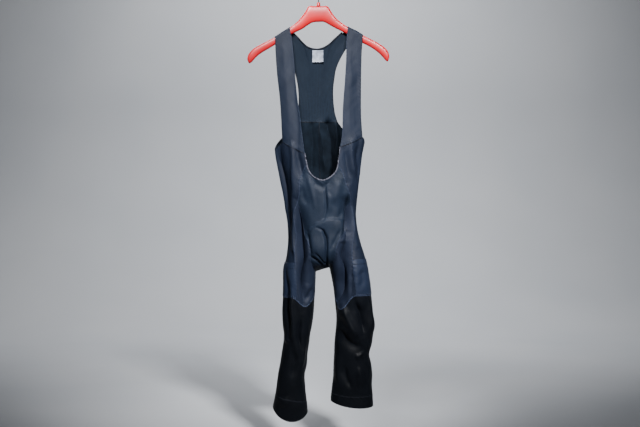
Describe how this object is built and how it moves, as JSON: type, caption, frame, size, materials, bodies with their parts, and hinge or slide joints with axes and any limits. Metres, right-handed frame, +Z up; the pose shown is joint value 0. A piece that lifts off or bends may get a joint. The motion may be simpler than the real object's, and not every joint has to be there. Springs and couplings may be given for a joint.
{
  "type": "three-quarter thermal bib tights on a hanger",
  "caption": "Close-fitting winter sports tights with shoulder straps, racer back and thigh pockets, hanging limp from a moulded hanger with a wire hook.",
  "frame": {"origin": "top of the hook's mouth, where the hanger hangs on a rail", "axes": "+Z up along the hook's stem, +X to the viewer's right along the hanger, -Y out of the garment's front"},
  "size_m": [0.44, 0.1202, 1.3551],
  "materials": {
    "hanger_plastic": "glossy red moulding",
    "hook_steel": "plated steel wire",
    "strap_knit": "slate navy stretch knit",
    "bib_knit": "open navy knit",
    "dark_binding": "folded elastic binding",
    "pale_binding": "folded elastic binding",
    "label_satin": "blank woven satin",
    "body_knit": "brushed-back navy stretch knit",
    "pocket_knit": "blue navy stretch knit",
    "leg_knit": "near-black stretch knit"
  },
  "bodies": {
    "root": {"hanger": "hanger_plastic", "hook_collar": "hanger_plastic", "hook": "hook_steel", "strap_left": "strap_knit", "strap_right": "strap_knit", "back_bib": "bib_knit", "back_neck_binding": "dark_binding", "front_neck_binding": "pale_binding", "neck_label": "label_satin", "front_panel": "body_knit", "gusset": "body_knit", "side_panel_left": "body_knit", "side_panel_right": "body_knit", "thigh_front_left": "body_knit", "thigh_front_right": "body_knit", "back_panel_left": "body_knit", "back_panel_right": "body_knit", "pocket_left": "pocket_knit", "pocket_right": "pocket_knit", "lower_leg_left": "leg_knit", "lower_leg_right": "leg_knit", "cuff_left": "leg_knit", "cuff_right": "leg_knit"}
  },
  "joints": []
}
